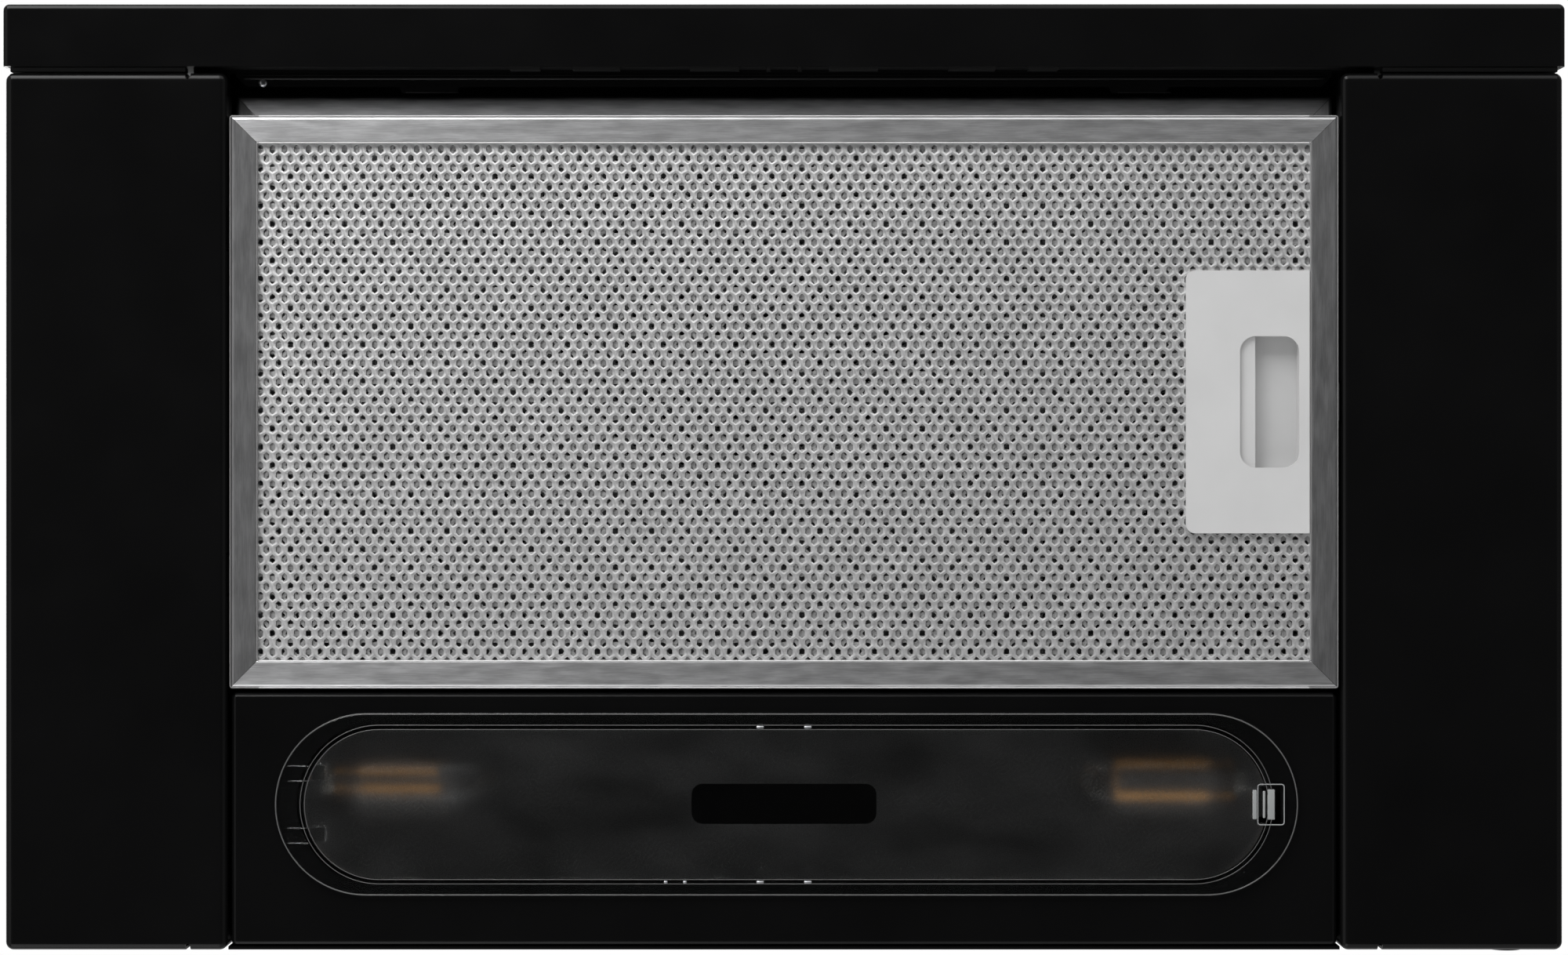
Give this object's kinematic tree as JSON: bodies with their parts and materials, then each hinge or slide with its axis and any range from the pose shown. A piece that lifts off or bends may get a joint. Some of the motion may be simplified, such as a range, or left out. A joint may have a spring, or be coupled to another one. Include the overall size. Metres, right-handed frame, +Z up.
{
  "type": "built-in range hood",
  "caption": "Telescopic built-in cooker hood with pull-out drawer, drop-down grease filter, lamp compartment under a long cover and a round duct outlet on top.",
  "frame": {"origin": "centre of the overall footprint, on the plane of the underside", "axes": "+X towards the filter's latch side, -Y towards the front panel, +Z up to the duct outlet"},
  "size_m": [0.498, 0.302, 0.205],
  "materials": {
    "black_enamel": "smooth black enamel, semi-gloss",
    "housing_steel": "galvanised sheet, satin",
    "zinc_steel": "bright zinc plate",
    "filter_frame": "brushed along each member",
    "filter_mesh": "expanded foil mesh, bright",
    "grey_plastic": "light grey, fine satin",
    "black_plastic": "black, fine texture",
    "white_plastic": "white, satin",
    "nylon": "natural nylon",
    "clear_cover": "clear polycarbonate, frosted in the middle",
    "lamp_glass": "clear glass",
    "filament": "orange phosphor coat",
    "lamp_cap": "bare cap metal",
    "rubber": "matt"
  },
  "bodies": {
    "body": {"cable_gland": "black_plastic", "capacitor": "white_plastic", "capacitor_clamp": "zinc_steel", "control_fascia": "black_plastic", "drawer_switch": "black_plastic", "duct_collar": "black_plastic", "fan_motor": "housing_steel", "fan_scroll": "housing_steel", "fixed_glides": "nylon", "flap_pin": "zinc_steel", "housing_frame": "black_enamel", "lamp_caps": "lamp_cap", "lamp_filaments": "filament", "lamp_glass": "lamp_glass", "lamp_housing": "black_enamel", "lamp_panel": "black_enamel", "lampholders": "black_plastic", "left_fixed_rail": "zinc_steel", "left_inlet_ring": "black_plastic", "left_side_panel": "black_enamel", "motor_bracket": "zinc_steel", "motor_grommets": "rubber", "motor_housing": "black_enamel", "rail_brackets": "zinc_steel", "rear_spacer": "rubber", "right_fixed_rail": "zinc_steel", "right_inlet_ring": "black_plastic", "right_side_panel": "black_enamel", "slab_shell": "black_enamel", "switch_block": "white_plastic", "terminal_box": "black_plastic", "terminal_box_lid": "black_plastic"},
    "drawer": {"front_panel": "black_enamel", "front_carrier": "black_plastic", "front_clips": "zinc_steel", "drawer_tray": "black_enamel", "left_drawer_rail": "zinc_steel", "right_drawer_rail": "zinc_steel", "drawer_glides": "nylon", "drawer_filter_frame": "filter_frame", "drawer_filter_mesh": "filter_mesh", "drawer_filter_handle": "grey_plastic", "drawer_filter_tabs": "zinc_steel"},
    "drawer_filter_catch": {"drawer_filter_latch": "grey_plastic"},
    "main_filter": {"main_filter_frame_front": "filter_frame", "main_filter_frame_rear": "filter_frame", "main_filter_frame_left": "filter_frame", "main_filter_frame_right": "filter_frame", "main_filter_mesh": "filter_mesh", "main_filter_handle": "grey_plastic", "main_filter_tabs": "zinc_steel"},
    "main_filter_catch": {"main_filter_latch": "grey_plastic"},
    "cover": {"lamp_cover": "clear_cover"},
    "fan": {"fan_impeller": "black_plastic", "motor_shaft": "zinc_steel"},
    "flap_front": {"front_flap": "black_plastic"},
    "flap_rear": {"rear_flap": "black_plastic"},
    "speed_control": {"speed_knob": "white_plastic"},
    "light_control": {"light_knob": "white_plastic"},
    "plunger": {"switch_plunger": "white_plastic"}
  },
  "joints": [
    {"name": "drawer_slide", "type": "slide", "parent": "body", "child": "drawer", "axis": [0, -1, 0], "range_m": [0, 0.175]},
    {"name": "drawer_filter_catch_slide", "type": "slide", "parent": "drawer", "child": "drawer_filter_catch", "axis": [-1, 0, 0], "range_m": [0, 0.005], "stiffness_N_per_m": 300},
    {"name": "main_filter_swing", "type": "hinge", "parent": "body", "child": "main_filter", "pos_m": [-0.1774, -0.0241, 0.0021], "axis": [0, 1, 0], "range_deg": [0, 40]},
    {"name": "main_filter_catch_slide", "type": "slide", "parent": "main_filter", "child": "main_filter_catch", "axis": [-1, 0, 0], "range_m": [0, 0.005], "stiffness_N_per_m": 300},
    {"name": "lamp_cover_swing", "type": "hinge", "parent": "body", "child": "cover", "pos_m": [-0.1623, 0.1042, 0.00105], "axis": [0, 1, 0], "range_deg": [0, 60]},
    {"name": "fan_spin", "type": "hinge", "parent": "body", "child": "fan", "pos_m": [0, 0, 0.108], "axis": [1, 0, 0], "continuous": true},
    {"name": "front_flap_swing", "type": "hinge", "parent": "body", "child": "flap_front", "pos_m": [0, 0.043, 0.1786], "axis": [-1, 0, 0], "range_deg": [0, 80]},
    {"name": "rear_flap_swing", "type": "hinge", "parent": "body", "child": "flap_rear", "pos_m": [0, 0.043, 0.1786], "axis": [1, 0, 0], "range_deg": [0, 80]},
    {"name": "speed_knob_slide", "type": "slide", "parent": "body", "child": "speed_control", "axis": [1, 0, 0], "range_m": [0, 0.024]},
    {"name": "light_knob_slide", "type": "slide", "parent": "body", "child": "light_control", "axis": [1, 0, 0], "range_m": [0, 0.012]},
    {"name": "switch_plunger_press", "type": "slide", "parent": "body", "child": "plunger", "axis": [0, 1, 0], "range_m": [0, 0.003], "stiffness_N_per_m": 150}
  ]
}
